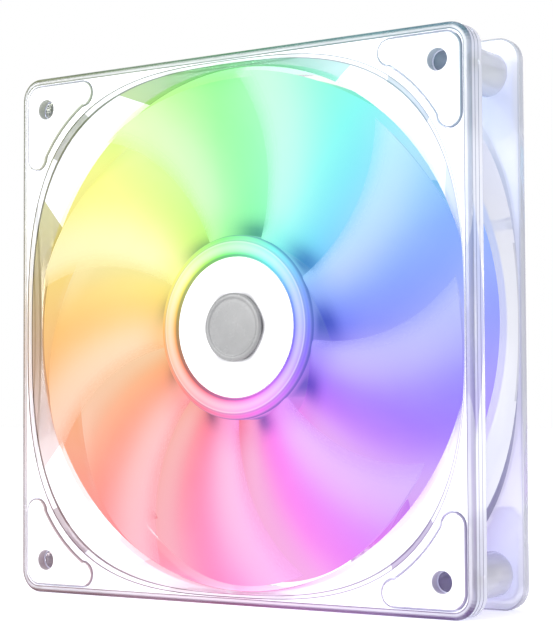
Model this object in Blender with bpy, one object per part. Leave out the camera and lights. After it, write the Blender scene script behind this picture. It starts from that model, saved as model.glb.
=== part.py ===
"""Case fan, 120 mm: a clear frame with soft corner pads, a nine-bladed rotor, and the motor in its hub.

For Blender 4.5, in metres. The fan's axis is Y through the origin, air enters the front (-Y) and +Z is up.
A depth is counted backwards from the front face, so depth 0 is the front and DEPTH is the rear.
An outline is a list of (x, z) points that runs anticlockwise as seen from the front.
"""

import bmesh
import bpy
from math import atan2, cos, hypot, pi, radians, sin, sqrt, tau
from mathutils import Vector

MM = 0.001

# Overall sizes of a standard 120 mm fan
SIZE = 120 * MM
DEPTH = 25 * MM
HOLE_PITCH = 105 * MM
HOLE_RADIUS = 2.15 * MM
GAP = 0.3 * MM  # left between pieces that touch
EPS = 0.5 * MM  # how far a cutter runs past a face

# Frame
PAD_PROUD = 0.15 * MM  # the soft pads stand this far out of the frame
FLANGE_THICK = 5.5 * MM
REAR_FLANGE_THICK = 3.5 * MM
CORNER_RADIUS = 5 * MM
CORNER_STEPS = 5
EDGE_CHAMFER = 1 * MM
DUCT_RADIUS = 57.3 * MM
BARREL_RADIUS = 59.1 * MM
MOUTH_HALF = 58 * MM  # half the width of the squarish mouths
FLARE_HALF = 59.6 * MM  # the same, outside the barrel's rear flare
MOUTH_POWER = 3  # 2 would be a circle
DUCT_SIDES = 56
TUBE_RADIUS = 4.8 * MM
ROUND_SIDES = 20

# Corner pads
PAD_THICK = 2.2 * MM
PAD_EDGE = 58 * MM  # from the fan's axis to the pad's outer sides
PAD_LEG = 38.5 * MM  # from the fan's axis to the ends of its legs
PAD_INNER_HALF = 59.9 * MM
PAD_CORNER = 3.5 * MM
PAD_HOLE = 2.3 * MM
PAD_HOLE_CHAMFER = 0.35 * MM

# Motor base and struts
BASE_RADIUS = 20.9 * MM
BASE_BORE = 4.5 * MM
STRUT_COUNT = 4
STRUT_RIM_ANGLE = radians(20)
STRUT_SWEEP = radians(22)
STRUT_WIDTH = 2.6 * MM
CABLE_STRUT = 3
CABLE_STRUT_WIDTH = 5.4 * MM
CABLE_CHANNEL_WIDTH = 3.4 * MM
STRUT_FRONT = 21.8 * MM
STRUT_REAR = 24.5 * MM

# Rotor
HUB_RADIUS = 20.2 * MM
HUB_WALL = 1.4 * MM
HUB_FRONT = 2.2 * MM
HUB_REAR = 18.4 * MM
RECESS_RADIUS = 15.7 * MM
DISC_RADIUS = 15.4 * MM
BADGE_RADIUS = 7.5 * MM
HUB_SIDES = 40
BLADE_COUNT = 9
BLADE_TIP = 55.7 * MM
BLADE_ROOT = 19.5 * MM  # inside the hub's wall
LEAD_ANGLE = radians(31)  # where the first blade's front edge leaves the hub
BLADE_SWEEP = radians(18)  # how far its tip leads its root
BLADE_WRAP = radians(70)  # from front edge to rear edge at the hub and at the tip
EXTRA_WRAP = radians(3)  # added halfway out
BLADE_THICK = 1.7 * MM
BLADE_EDGE_THICK = 0.7 * MM
SPAN_STEPS = 6
CHORD_STEPS = 10

# Motor
SHAFT_RADIUS = 1.5 * MM
BEARING_BORE = 1.58 * MM
TUBE_OUTER = 4.2 * MM
TUBE_INNER = 3.2 * MM
STATOR_FRONT = 10 * MM
STATOR_REAR = 15 * MM
POLE_COUNT = 4
LED_COUNT = 8
LED_CIRCLE = 17.6 * MM
BOARD_FRONT = 20.1 * MM
CHIP_REAR = BOARD_FRONT - GAP
CHIP_FRONT = 18.8 * MM


# ---------------------------------------------------------------- points and outlines


def at(x, z, depth):
    return Vector((x, depth - DEPTH / 2, z))


def polar(radius, angle):
    return radius * cos(angle), radius * sin(angle)


def blend(first, second, amount):
    return first + (second - first) * amount


def squircle_radius(half, angle):
    """Distance from the axis to a squarish closed curve of the given half width."""
    total = abs(cos(angle)) ** MOUTH_POWER + abs(sin(angle)) ** MOUTH_POWER
    return half / total ** (1 / MOUTH_POWER)


def duct_outline(radius, half, squareness):
    """A circle at squareness 0, the squarish mouth at squareness 1."""
    angles = [tau * i / DUCT_SIDES for i in range(DUCT_SIDES)]
    return [polar(blend(radius, squircle_radius(half, a), squareness), a) for a in angles]


def arc(centre, radius, start, end, steps):
    angles = [blend(start, end, i / steps) for i in range(steps + 1)]
    return [(centre[0] + radius * cos(a), centre[1] + radius * sin(a)) for a in angles]


def rounded_square(inset):
    middle = SIZE / 2 - CORNER_RADIUS
    points = []
    for quarter in range(4):
        start = quarter * pi / 2
        turn = start + pi / 4
        centre = (middle * sqrt(2) * cos(turn), middle * sqrt(2) * sin(turn))
        points += arc(centre, CORNER_RADIUS - inset, start, start + pi / 2, CORNER_STEPS)
    return points


def pad_outline(grow):
    """The pad in the corner of +x and +z: two legs along the edges, and an inner side beside the mouth."""
    edge = PAD_EDGE + grow
    inner = PAD_INNER_HALF - grow
    end = PAD_LEG - grow
    tip = 3 * MM
    for _ in range(12):  # settles on the radius that brings a leg's round end onto the inner side
        reach = (inner**MOUTH_POWER - (end + tip) ** MOUTH_POWER) ** (1 / MOUTH_POWER)
        tip = (edge - reach) / 2
    corner = (edge - PAD_CORNER, edge - PAD_CORNER)
    points = arc((edge - tip, end + tip), tip, pi, tau, 4)
    points += arc(corner, PAD_CORNER, 0, pi / 2, 4)
    points += arc((end + tip, edge - tip), tip, pi / 2, 3 * pi / 2, 4)
    first = atan2(edge - 2 * tip, end + tip)
    last = pi / 2 - first
    for i in range(1, 6):
        angle = blend(first, last, i / 6)
        points.append(polar(squircle_radius(inner, angle), angle))
    return points


def pole_outline(hub, neck, shoe_inner, shoe_outer, shoe_angle):
    """Stator poles: a ring of radius hub, and necks that carry curved shoes."""
    root = sqrt(hub**2 - neck**2)
    top = sqrt(shoe_inner**2 - neck**2)
    pole = [(root, -neck), (top, -neck), polar(shoe_inner, -shoe_angle)]
    pole += arc((0, 0), shoe_outer, -shoe_angle, shoe_angle, 6)
    pole += [polar(shoe_inner, shoe_angle), (top, neck), (root, neck)]
    pole.append(polar(hub, pi / POLE_COUNT))
    points = []
    for index in range(POLE_COUNT):
        turn = tau * index / POLE_COUNT
        points += [polar(hypot(x, z), atan2(z, x) + turn) for x, z in pole]
    return points


def strut_outline(rim_angle, width, start, end):
    """A strut that sweeps clockwise on its way out, as seen from the front."""
    steps = 6
    spine = []
    for i in range(steps + 1):
        amount = i / steps
        angle = rim_angle + STRUT_SWEEP * (1 - amount) ** 1.5
        spine.append(Vector(polar(blend(start, end, amount), angle)))
    left = []
    right = []
    for i, point in enumerate(spine):
        run = (spine[min(i + 1, steps)] - spine[max(i - 1, 0)]).normalized()
        side = Vector((-run.y, run.x)) * width / 2
        left.append(tuple(point + side))
        right.append(tuple(point - side))
    return right + left[::-1]


# ---------------------------------------------------------------- mesh builders


def finished(name, mesh_builder, finish=None, parent=None):
    """Turn a bmesh into an object, with its faces pointing out."""
    bmesh.ops.recalc_face_normals(mesh_builder, faces=mesh_builder.faces)
    mesh = bpy.data.meshes.new(name)
    mesh_builder.to_mesh(mesh)
    mesh_builder.free()
    mesh.shade_smooth()
    mesh.set_sharp_from_angle(angle=radians(35))
    if finish:
        mesh.materials.append(finish)
    thing = bpy.data.objects.new(name, mesh)
    bpy.context.scene.collection.objects.link(thing)
    thing.parent = parent
    return thing


def add_skin(builder, rings, closed):
    """Join rings of equal length with quads, and either close the loop of rings or cap both ends."""
    count = len(rings[0])
    pairs = list(zip(rings, rings[1:]))
    if closed:
        pairs.append((rings[-1], rings[0]))
    for near, far in pairs:
        for i in range(count):
            j = (i + 1) % count
            builder.faces.new((near[i], near[j], far[j], far[i]))
    if not closed:
        builder.faces.new(rings[0][::-1])
        builder.faces.new(rings[-1])


def add_stack(builder, layers):
    """One solid through closed outlines of equal length, each an (outline, depth) pair."""
    rings = [[builder.verts.new(at(x, z, depth)) for x, z in outline] for outline, depth in layers]
    add_skin(builder, rings, closed=False)


def stacked(name, solids, finish=None, parent=None):
    """An object of one or more solids, each a list of (outline, depth) layers."""
    builder = bmesh.new()
    for layers in solids:
        add_stack(builder, layers)
    return finished(name, builder, finish, parent)


def plate(outline, front, rear):
    return [(outline, front), (outline, rear)]


def turned(name, profile, sides, finish=None, parent=None, centre=(0, 0)):
    """Revolve a closed (radius, depth) outline. Two points at radius 0 put its ends on the axis."""
    builder = bmesh.new()
    rings = []
    for radius, depth in profile:
        count = sides if radius else 1
        spots = [polar(radius, tau * i / sides) for i in range(count)]
        rings.append([builder.verts.new(at(centre[0] + x, centre[1] + z, depth)) for x, z in spots])
    for near, far in zip(rings, rings[1:] + rings[:1]):
        if len(near) == len(far) == 1:
            continue
        for i in range(sides):
            j = (i + 1) % sides
            corners = [near[i % len(near)], near[j % len(near)], far[j % len(far)], far[i % len(far)]]
            builder.faces.new(list(dict.fromkeys(corners)))
    return finished(name, builder, finish, parent)


def block(name, radius, angle, radial, tangential, front, rear, finish):
    """A small box on the circuit board, square to the radius that it sits on."""
    corners = [(-1, -1), (1, -1), (1, 1), (-1, 1)]
    outline = []
    for across, along in corners:
        x = radius + across * radial / 2
        z = along * tangential / 2
        outline.append(polar(hypot(x, z), atan2(z, x) + angle))
    return stacked(name, [plate(outline, front, rear)], finish)


def guide(thing):
    """Mark a cutter, or a shape that only gets joined to another."""
    thing.hide_render = True
    thing.display_type = "WIRE"
    return thing


def combine(target, tool, operation):
    guide(tool)
    modifier = target.modifiers.new(tool.name, "BOOLEAN")
    modifier.operation = operation
    modifier.solver = "EXACT"
    modifier.object = tool


def join(target, tool):
    combine(target, tool, "UNION")


def cut(target, tool):
    combine(target, tool, "DIFFERENCE")


def material(name, colour, roughness, metallic=0.0, alpha=1.0):
    made = bpy.data.materials.new(name)
    made.use_nodes = True
    shader = made.node_tree.nodes["Principled BSDF"]
    shader.inputs["Base Color"].default_value = (*colour, 1)
    shader.inputs["Roughness"].default_value = roughness
    shader.inputs["Metallic"].default_value = metallic
    shader.inputs["Alpha"].default_value = alpha
    return made


# ---------------------------------------------------------------- frame


def duct_cutter():
    """The air's way through: squarish at both faces, round where the blades turn."""
    stations = [
        (-EPS, 1),
        (PAD_PROUD, 1),
        (1.2 * MM, 0.82),
        (2.6 * MM, 0.42),
        (4.2 * MM, 0.1),
        (5.4 * MM, 0),
        (15 * MM, 0),
        (18 * MM, 0.1),
        (20.5 * MM, 0.38),
        (22.8 * MM, 0.76),
        (DEPTH - PAD_PROUD, 1),
        (DEPTH + EPS, 1),
    ]
    layers = [(duct_outline(DUCT_RADIUS, MOUTH_HALF, square), depth) for depth, square in stations]
    return stacked("duct_cutter", [layers])


def barrel_shape():
    """The duct's outside, which widens into the rear flange."""
    stations = [(3 * MM, 0), (14 * MM, 0), (17 * MM, 0.14), (19.5 * MM, 0.45), (22.4 * MM, 0.9)]
    layers = [(duct_outline(BARREL_RADIUS, FLARE_HALF, square), depth) for depth, square in stations]
    return stacked("barrel_shape", [layers])


def hole_centres():
    half = HOLE_PITCH / 2
    return [(half, half), (-half, half), (-half, -half), (half, -half)]


def pad_pockets():
    """Eight recesses, a gap larger than the pads that lie in them."""
    outline = pad_outline(GAP)
    floor = PAD_THICK + GAP
    solids = []
    for quarter in range(4):
        turn = quarter * pi / 2
        turned_outline = [polar(hypot(x, z), atan2(z, x) + turn) for x, z in outline]
        solids.append(plate(turned_outline, -EPS, floor))
        solids.append(plate(turned_outline, DEPTH - floor, DEPTH + EPS))
    return stacked("pad_pockets", solids)


def motor_base():
    """A shallow cup for the circuit board, with a recess behind it for the label."""
    profile = [
        (BASE_BORE, 21.5 * MM),
        (19.6 * MM, 21.5 * MM),
        (19.6 * MM, 19.6 * MM),
        (BASE_RADIUS, 19.6 * MM),
        (BASE_RADIUS, 24.7 * MM),
        (19.7 * MM, 24.7 * MM),
        (19.7 * MM, 24.1 * MM),
        (BASE_BORE, 24.1 * MM),
    ]
    return turned("motor_base", profile, HUB_SIDES)


def strut_angle(index):
    return STRUT_RIM_ANGLE + index * tau / STRUT_COUNT


def make_frame(finish):
    front = PAD_PROUD
    rear = DEPTH - PAD_PROUD
    whole = rounded_square(0)
    chamfered = rounded_square(EDGE_CHAMFER)
    front_layers = [(chamfered, front), (whole, front + EDGE_CHAMFER), (whole, FLANGE_THICK)]
    rear_layers = [(whole, DEPTH - REAR_FLANGE_THICK), (whole, rear - EDGE_CHAMFER), (chamfered, rear)]
    frame = stacked("frame", [front_layers], finish)
    join(frame, stacked("rear_flange", [rear_layers]))
    join(frame, barrel_shape())
    tubes = []
    holes = []
    for centre in hole_centres():
        tubes.append(plate(arc(centre, TUBE_RADIUS, 0, tau, ROUND_SIDES)[:-1], 3 * MM, 23 * MM))
        holes.append(plate(arc(centre, HOLE_RADIUS, 0, tau, ROUND_SIDES)[:-1], -EPS, DEPTH + EPS))
    join(frame, stacked("corner_tubes", tubes))
    cut(frame, duct_cutter())
    join(frame, motor_base())
    struts = []
    for index in range(STRUT_COUNT):
        width = CABLE_STRUT_WIDTH if index == CABLE_STRUT else STRUT_WIDTH
        outline = strut_outline(strut_angle(index), width, 20.3 * MM, 61.4 * MM)
        struts.append(plate(outline, STRUT_FRONT, STRUT_REAR))
    join(frame, stacked("struts", struts))
    cut(frame, stacked("screw_holes", holes))
    cut(frame, pad_pockets())
    cut(frame, cable_way())
    return frame


def cable_way():
    """A channel along the back of the wide strut, which leaves through a notch in the rear flange."""
    angle = strut_angle(CABLE_STRUT)
    outline = strut_outline(angle, CABLE_CHANNEL_WIDTH, 22 * MM, SIZE / 2 / abs(sin(angle)) + 2 * MM)
    return stacked("cable_way", [plate(outline, 23 * MM, DEPTH + EPS)])


def make_pads(finish):
    """The front and rear pads share one shape, which has a hole for a screw."""
    half = HOLE_PITCH / 2
    blank = guide(stacked("pad_blank", [plate(pad_outline(0), 0, PAD_THICK)], finish))
    profile = [
        (0, -EPS),
        (PAD_HOLE + PAD_HOLE_CHAMFER + EPS, -EPS),
        (PAD_HOLE, PAD_HOLE_CHAMFER),
        (PAD_HOLE, PAD_THICK + EPS),
        (0, PAD_THICK + EPS),
    ]
    cut(blank, turned("pad_bore", profile, ROUND_SIDES, centre=(half, half)))
    ready = blank.evaluated_get(bpy.context.evaluated_depsgraph_get())
    mesh = bpy.data.meshes.new_from_object(ready)
    for side, flip in (("front", 0), ("rear", pi)):
        for quarter in range(4):
            pad = bpy.data.objects.new(f"{side}_pad_{quarter + 1}", mesh)
            pad.rotation_euler = (flip, -quarter * pi / 2, 0)
            bpy.context.scene.collection.objects.link(pad)


# ---------------------------------------------------------------- rotor


def blade_point(span, chord):
    """The middle of a blade's thickness.

    Span runs 0 to 1 from hub to tip, and chord 0 to 1 from the front edge to the rear edge.
    """
    radius = blend(HUB_RADIUS, BLADE_TIP, span)
    lead = LEAD_ANGLE + BLADE_SWEEP * max(span, 0) ** 1.6
    wrap = BLADE_WRAP + EXTRA_WRAP * 4 * span * (1 - span)
    front = blend(3.6 * MM, 2 * MM, span)
    rear = blend(17.4 * MM, 18.4 * MM, span)
    fall = blend(chord, chord**2 * (3 - 2 * chord), 0.75)
    x, z = polar(radius, lead - wrap * chord)
    return at(x, z, blend(front, rear, fall))


def blade_ring(builder, span):
    """One closed section through a blade: its front side out to the rear edge, then its back."""
    step = 0.01
    front_side = []
    back_side = []
    for i in range(CHORD_STEPS + 1):
        chord = i / CHORD_STEPS
        along = blade_point(span, chord + step) - blade_point(span, chord - step)
        outwards = blade_point(span + step, chord) - blade_point(span - step, chord)
        normal = along.cross(outwards).normalized()
        thick = BLADE_EDGE_THICK + (BLADE_THICK - BLADE_EDGE_THICK) * sin(pi * chord)
        middle = blade_point(span, chord)
        front_side.append(builder.verts.new(middle + normal * thick / 2))
        back_side.append(builder.verts.new(middle - normal * thick / 2))
    return front_side + back_side[::-1]


def make_blades():
    builder = bmesh.new()
    root = (BLADE_ROOT - HUB_RADIUS) / (BLADE_TIP - HUB_RADIUS)
    for index in range(BLADE_COUNT):
        fresh = len(builder.verts)
        rings = [blade_ring(builder, blend(root, 1, i / SPAN_STEPS)) for i in range(SPAN_STEPS + 1)]
        add_skin(builder, rings, closed=False)
        builder.verts.ensure_lookup_table()
        turn = index * tau / BLADE_COUNT
        for vertex in builder.verts[fresh:]:
            x, z = polar(hypot(vertex.co.x, vertex.co.z), atan2(vertex.co.z, vertex.co.x) + turn)
            vertex.co.x = x
            vertex.co.z = z
    return finished("blades", builder)


def make_impeller(finish, axle):
    inner = HUB_RADIUS - HUB_WALL
    profile = [
        (3.9 * MM, 3.3 * MM),
        (RECESS_RADIUS, 3.3 * MM),
        (RECESS_RADIUS, 2.5 * MM),
        (16.2 * MM, HUB_FRONT),
        (18.7 * MM, HUB_FRONT),
        (18.9 * MM, 2.4 * MM),
        (19.8 * MM, 2.55 * MM),
        (HUB_RADIUS, 3.1 * MM),
        (HUB_RADIUS, HUB_REAR),
        (inner, HUB_REAR),
        (inner, 4.3 * MM),
        (3.9 * MM, 4.3 * MM),
    ]
    impeller = turned("impeller", profile, HUB_SIDES, finish, axle)
    join(impeller, make_blades())
    return impeller


def make_hub_trim(disc_finish, badge_finish, axle):
    disc = [
        (0, 2.7 * MM),
        (15.1 * MM, 2.7 * MM),
        (DISC_RADIUS, 2.8 * MM),
        (DISC_RADIUS, 3 * MM),
        (0, 3 * MM),
    ]
    turned("hub_disc", disc, HUB_SIDES, disc_finish, axle)
    badge = [
        (0, 1.8 * MM),
        (5.4 * MM, 1.9 * MM),
        (6.2 * MM, 1.9 * MM),
        (6.5 * MM, 1.7 * MM),
        (7 * MM, 1.7 * MM),
        (BADGE_RADIUS, 2 * MM),
        (BADGE_RADIUS, 2.4 * MM),
        (0, 2.4 * MM),
    ]
    turned("hub_badge", badge, HUB_SIDES, badge_finish, axle)


def make_rotor_motor(steel, magnet, brass, axle):
    """The pieces inside the hub that turn with it."""
    yoke = [
        (3.9 * MM, 4.6 * MM),
        (17.9 * MM, 4.6 * MM),
        (18.5 * MM, 5.2 * MM),
        (18.5 * MM, 17.6 * MM),
        (17.7 * MM, 17.6 * MM),
        (17.7 * MM, 5.4 * MM),
        (3.9 * MM, 5.4 * MM),
    ]
    turned("rotor_yoke", yoke, HUB_SIDES, steel, axle)
    ring = [(15 * MM, 7.4 * MM), (17.4 * MM, 7.4 * MM), (17.4 * MM, 17 * MM), (15 * MM, 17 * MM)]
    turned("magnet_ring", ring, HUB_SIDES, magnet, axle)
    boss = [
        (1.6 * MM, 3.4 * MM),
        (3.6 * MM, 3.4 * MM),
        (3.6 * MM, 5.7 * MM),
        (5.6 * MM, 5.7 * MM),
        (5.6 * MM, 6.4 * MM),
        (3 * MM, 6.4 * MM),
        (3 * MM, 8 * MM),
        (1.6 * MM, 8 * MM),
    ]
    turned("shaft_boss", boss, ROUND_SIDES, brass, axle)
    groove = 1.15 * MM
    shaft = [
        (0, 3.4 * MM),
        (SHAFT_RADIUS, 3.4 * MM),
        (SHAFT_RADIUS, 19.8 * MM),
        (groove, 19.8 * MM),
        (groove, 20.5 * MM),
        (SHAFT_RADIUS, 20.5 * MM),
        (SHAFT_RADIUS, 21.4 * MM),
        (0.8 * MM, 21.9 * MM),
        (0, 22 * MM),
    ]
    turned("shaft", shaft, ROUND_SIDES, steel, axle)
    clip = [
        (groove + 0.1 * MM, 19.95 * MM),
        (2.5 * MM, 19.95 * MM),
        (2.5 * MM, 20.35 * MM),
        (groove + 0.1 * MM, 20.35 * MM),
    ]
    turned("retaining_clip", clip, ROUND_SIDES, steel, axle)


# ---------------------------------------------------------------- fixed motor pieces


def ring_profile(inner, outer, front, rear):
    return [(inner, front), (outer, front), (outer, rear), (inner, rear)]


def make_bearing(brass, bronze, rubber, plastic):
    tube = ring_profile(TUBE_INNER, TUBE_OUTER, 8.4 * MM, 23.8 * MM)
    turned("bearing_tube", tube, ROUND_SIDES, brass)
    sleeve = ring_profile(BEARING_BORE, TUBE_INNER - 0.1 * MM, 9.3 * MM, 19.4 * MM)
    turned("bearing_sleeve", sleeve, ROUND_SIDES, bronze)
    seal = ring_profile(1.7 * MM, TUBE_INNER - 0.1 * MM, 8.5 * MM, 9 * MM)
    turned("oil_seal", seal, ROUND_SIDES, rubber)
    cap = [(0, 22.5 * MM), (2.5 * MM, 22.5 * MM), (3 * MM, 22.8 * MM), (3 * MM, 23.6 * MM), (0, 23.6 * MM)]
    turned("bearing_cap", cap, ROUND_SIDES, plastic)


def bored(name, outline, front, rear, finish):
    """A plate with the stator's centre hole."""
    piece = stacked(name, [plate(outline, front, rear)], finish)
    hole = arc((0, 0), TUBE_OUTER + GAP, 0, tau, ROUND_SIDES)[:-1]
    cut(piece, stacked(name + "_bore", [plate(hole, front - EPS, rear + EPS)]))
    return piece


def make_coil(index, finish):
    """A winding around one pole: a rounded loop, drawn out along the pole's radius."""
    half_width, half_height = 4.4 * MM, 5.8 * MM
    wall = 1.8 * MM
    corner = 1.6 * MM
    middle = (STATOR_FRONT + STATOR_REAR) / 2
    turn = index * tau / POLE_COUNT
    builder = bmesh.new()
    rings = []
    for radius, inset in ((7.7, wall), (7.7, 0), (11.1, 0), (11.1, wall)):
        round_off = corner if inset == 0 else 0.4 * MM
        loop = []
        for quarter in range(4):
            start = quarter * pi / 2
            side_x = 1 if quarter in (0, 3) else -1
            side_z = 1 if quarter in (0, 1) else -1
            centre = (side_x * (half_width - inset - round_off), side_z * (half_height - inset - round_off))
            loop += arc(centre, round_off, start, start + pi / 2, 2)
        ring = []
        for across, height in loop:
            x, z = polar(hypot(radius * MM, across), atan2(across, radius * MM) + turn)
            ring.append(builder.verts.new(at(x, z, middle + height)))
        rings.append(ring)
    add_skin(builder, rings, closed=True)
    finished(f"coil_{index + 1}", builder, finish)


def make_stator(steel, plastic, copper):
    core = pole_outline(6.8 * MM, 1.8 * MM, 12.9 * MM, 14.3 * MM, radians(36))
    bored("stator_core", core, STATOR_FRONT, STATOR_REAR, steel)
    bobbin = pole_outline(6.9 * MM, 2.2 * MM, 12.6 * MM, 13.7 * MM, radians(30))
    thick = 1 * MM
    bored("insulator_front", bobbin, STATOR_FRONT - GAP - thick, STATOR_FRONT - GAP, plastic)
    bored("insulator_rear", bobbin, STATOR_REAR + GAP, STATOR_REAR + GAP + thick, plastic)
    for index in range(POLE_COUNT):
        make_coil(index, copper)


def make_board(board, chip, lamp):
    disc = ring_profile(TUBE_OUTER + GAP, 19.2 * MM, BOARD_FRONT, 21.1 * MM)
    turned("motor_board", disc, HUB_SIDES, board)
    block("driver_chip", 10.6 * MM, radians(225), 5 * MM, 4 * MM, CHIP_FRONT, CHIP_REAR, chip)
    block("hall_sensor", 15.6 * MM, radians(45), 2.8 * MM, 4 * MM, CHIP_FRONT, CHIP_REAR, chip)
    for index in range(LED_COUNT):
        angle = tau * (index + 0.5) / LED_COUNT
        block(f"led_{index + 1}", LED_CIRCLE, angle, 2.8 * MM, 3.5 * MM, CHIP_FRONT, CHIP_REAR, lamp)


def make_label(finish):
    label = [(0, 24.35 * MM), (19.3 * MM, 24.35 * MM), (19.3 * MM, 24.6 * MM), (0, 24.6 * MM)]
    turned("rear_label", label, HUB_SIDES, finish)


def main():
    for thing in list(bpy.data.objects):
        bpy.data.objects.remove(thing, do_unlink=True)
    clear = material("clear_plastic", (0.93, 0.95, 0.96), 0.08, alpha=0.35)
    pad_rubber = material("pad_rubber", (0.93, 0.93, 0.93), 0.6)
    frosted = material("frosted_plastic", (0.93, 0.9, 0.95), 0.4)
    white = material("white_plastic", (0.95, 0.95, 0.95), 0.35)
    badge_metal = material("badge_metal", (0.6, 0.6, 0.6), 0.3, metallic=0.9)
    steel = material("steel", (0.6, 0.6, 0.62), 0.35, metallic=1)
    magnet = material("magnet", (0.08, 0.08, 0.09), 0.6)
    brass = material("brass", (0.78, 0.6, 0.3), 0.35, metallic=1)
    bronze = material("bronze", (0.5, 0.36, 0.22), 0.55, metallic=1)
    seal_rubber = material("seal_rubber", (0.03, 0.03, 0.03), 0.7)
    copper = material("copper", (0.72, 0.36, 0.2), 0.4, metallic=1)
    board = material("board", (0.85, 0.86, 0.84), 0.5)
    chip = material("chip", (0.03, 0.03, 0.03), 0.5)
    lamp = material("lamp", (0.98, 0.95, 0.8), 0.3)
    label_film = material("label_film", (0.85, 0.86, 0.88), 0.4)

    axle = bpy.data.objects.new("rotor_axis", None)
    bpy.context.scene.collection.objects.link(axle)

    make_frame(clear)
    make_pads(pad_rubber)
    make_impeller(frosted, axle)
    make_hub_trim(white, badge_metal, axle)
    make_rotor_motor(steel, magnet, brass, axle)
    make_bearing(brass, bronze, seal_rubber, white)
    make_stator(steel, white, copper)
    make_board(board, chip, lamp)
    make_label(label_film)


main()
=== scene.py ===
"""Looks for the case fan: a clear frame, soft corner pads and a frosted rotor that glows in rainbow colours.

Metres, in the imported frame. The fan's axis is Y through the origin, the front looks along -Y, and +Z is up.
A depth is counted backwards from the front face. Angles run anticlockwise from +X as seen from the front.
"""

from math import asin, atan2, cos, degrees, exp, hypot, pi, radians, sin, sqrt, tau

import bmesh
import bpy
from mathutils import Matrix, Vector


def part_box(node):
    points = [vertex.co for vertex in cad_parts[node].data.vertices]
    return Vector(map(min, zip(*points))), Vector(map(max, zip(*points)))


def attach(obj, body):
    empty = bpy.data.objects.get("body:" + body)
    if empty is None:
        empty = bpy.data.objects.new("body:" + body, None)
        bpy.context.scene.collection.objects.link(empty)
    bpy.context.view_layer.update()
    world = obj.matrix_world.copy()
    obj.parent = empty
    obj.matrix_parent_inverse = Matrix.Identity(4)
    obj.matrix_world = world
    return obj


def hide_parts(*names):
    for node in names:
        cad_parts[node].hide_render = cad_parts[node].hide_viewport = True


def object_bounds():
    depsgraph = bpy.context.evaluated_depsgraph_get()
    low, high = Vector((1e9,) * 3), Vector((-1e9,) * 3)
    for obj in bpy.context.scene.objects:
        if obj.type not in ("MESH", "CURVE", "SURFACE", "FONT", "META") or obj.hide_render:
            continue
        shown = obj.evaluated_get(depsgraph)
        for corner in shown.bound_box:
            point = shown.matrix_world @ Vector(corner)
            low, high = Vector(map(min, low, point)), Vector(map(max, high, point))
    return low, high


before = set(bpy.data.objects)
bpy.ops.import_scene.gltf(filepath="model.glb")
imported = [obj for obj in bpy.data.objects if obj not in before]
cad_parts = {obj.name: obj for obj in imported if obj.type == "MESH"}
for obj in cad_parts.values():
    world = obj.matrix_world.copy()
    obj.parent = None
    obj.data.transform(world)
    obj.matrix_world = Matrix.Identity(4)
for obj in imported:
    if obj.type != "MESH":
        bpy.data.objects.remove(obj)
cad_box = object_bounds()

MM = 0.001
SIZE = 120 * MM
CORNER = 5 * MM  # radius of the outline's corners
DEPTH = 25 * MM
HOLE_PITCH = 105 * MM
HOLE_RADIUS = 2.15 * MM
LABEL_RADIUS = 19.3 * MM
PAD_PROUD = 0.15 * MM  # how far the pads stand out of the frame
GAP = 0.3 * MM  # between a pad and its pocket
EPS = 0.5 * MM  # how far a cutting shape goes past what it cuts
SQUIRCLE = 3  # power of the mouth's outline, which is between a circle and a square
FIXED = "stationary"
ROTOR = "rotor"


# ---------------------------------------------------------------- points and outlines


def at(x, z, depth):
    return Vector((x, depth - DEPTH / 2, z))


def polar(radius, angle):
    return radius * cos(angle), radius * sin(angle)


def lerp(first, second, amount):
    return first + (second - first) * amount


def smooth(amount):
    amount = min(max(amount, 0), 1)
    return amount * amount * (3 - 2 * amount)


def turned_point(point, angle):
    x, z = point
    return polar(hypot(x, z), atan2(z, x) + angle)


def arc(centre, radius, start, end, steps):
    angles = [lerp(start, end, i / steps) for i in range(steps + 1)]
    return [(centre[0] + radius * cos(a), centre[1] + radius * sin(a)) for a in angles]


def circle(centre, radius, sides):
    return arc(centre, radius, 0, tau * (1 - 1 / sides), sides - 1)


def rounded_square(inset):
    """The fan's outline, pulled in by inset."""
    steps = 10
    middle = SIZE / 2 - CORNER
    points = []
    for quarter in range(4):
        start = quarter * pi / 2
        centre = polar(middle * sqrt(2), start + pi / 4)
        points += arc(centre, CORNER - inset, start, start + pi / 2, steps)
    return points


def squircle_radius(half, angle):
    total = abs(cos(angle)) ** SQUIRCLE + abs(sin(angle)) ** SQUIRCLE
    return half / total ** (1 / SQUIRCLE)


def softened(profile, radius, steps=4):
    """Round every corner of a closed (radius, depth) outline, except on the axis."""
    points = []
    count = len(profile)
    for i, here in enumerate(profile):
        here = Vector(here)
        before = Vector(profile[i - 1]) - here
        after = Vector(profile[(i + 1) % count]) - here
        if here.x < 1e-7:
            points.append(tuple(here))
            continue
        reach = min(radius, 0.45 * before.length, 0.45 * after.length)
        start = here + before.normalized() * reach
        end = here + after.normalized() * reach
        for k in range(steps + 1):
            t = k / steps
            points.append(tuple((1 - t) ** 2 * start + 2 * t * (1 - t) * here + t * t * end))
    return points


def finer(profile, step, least):
    """Add points to the front runs beyond the radius least, so that tones can change along them."""
    front = 6 * MM
    points = []
    for i, (radius, depth) in enumerate(profile):
        end_radius, end_depth = profile[(i + 1) % len(profile)]
        in_front = min(radius, end_radius) > least and depth < front
        count = max(int(hypot(end_radius - radius, end_depth - depth) / step), 1) if in_front else 1
        for k in range(count):
            points.append((lerp(radius, end_radius, k / count), lerp(depth, end_depth, k / count)))
    return points


# ---------------------------------------------------------------- meshes


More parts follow.
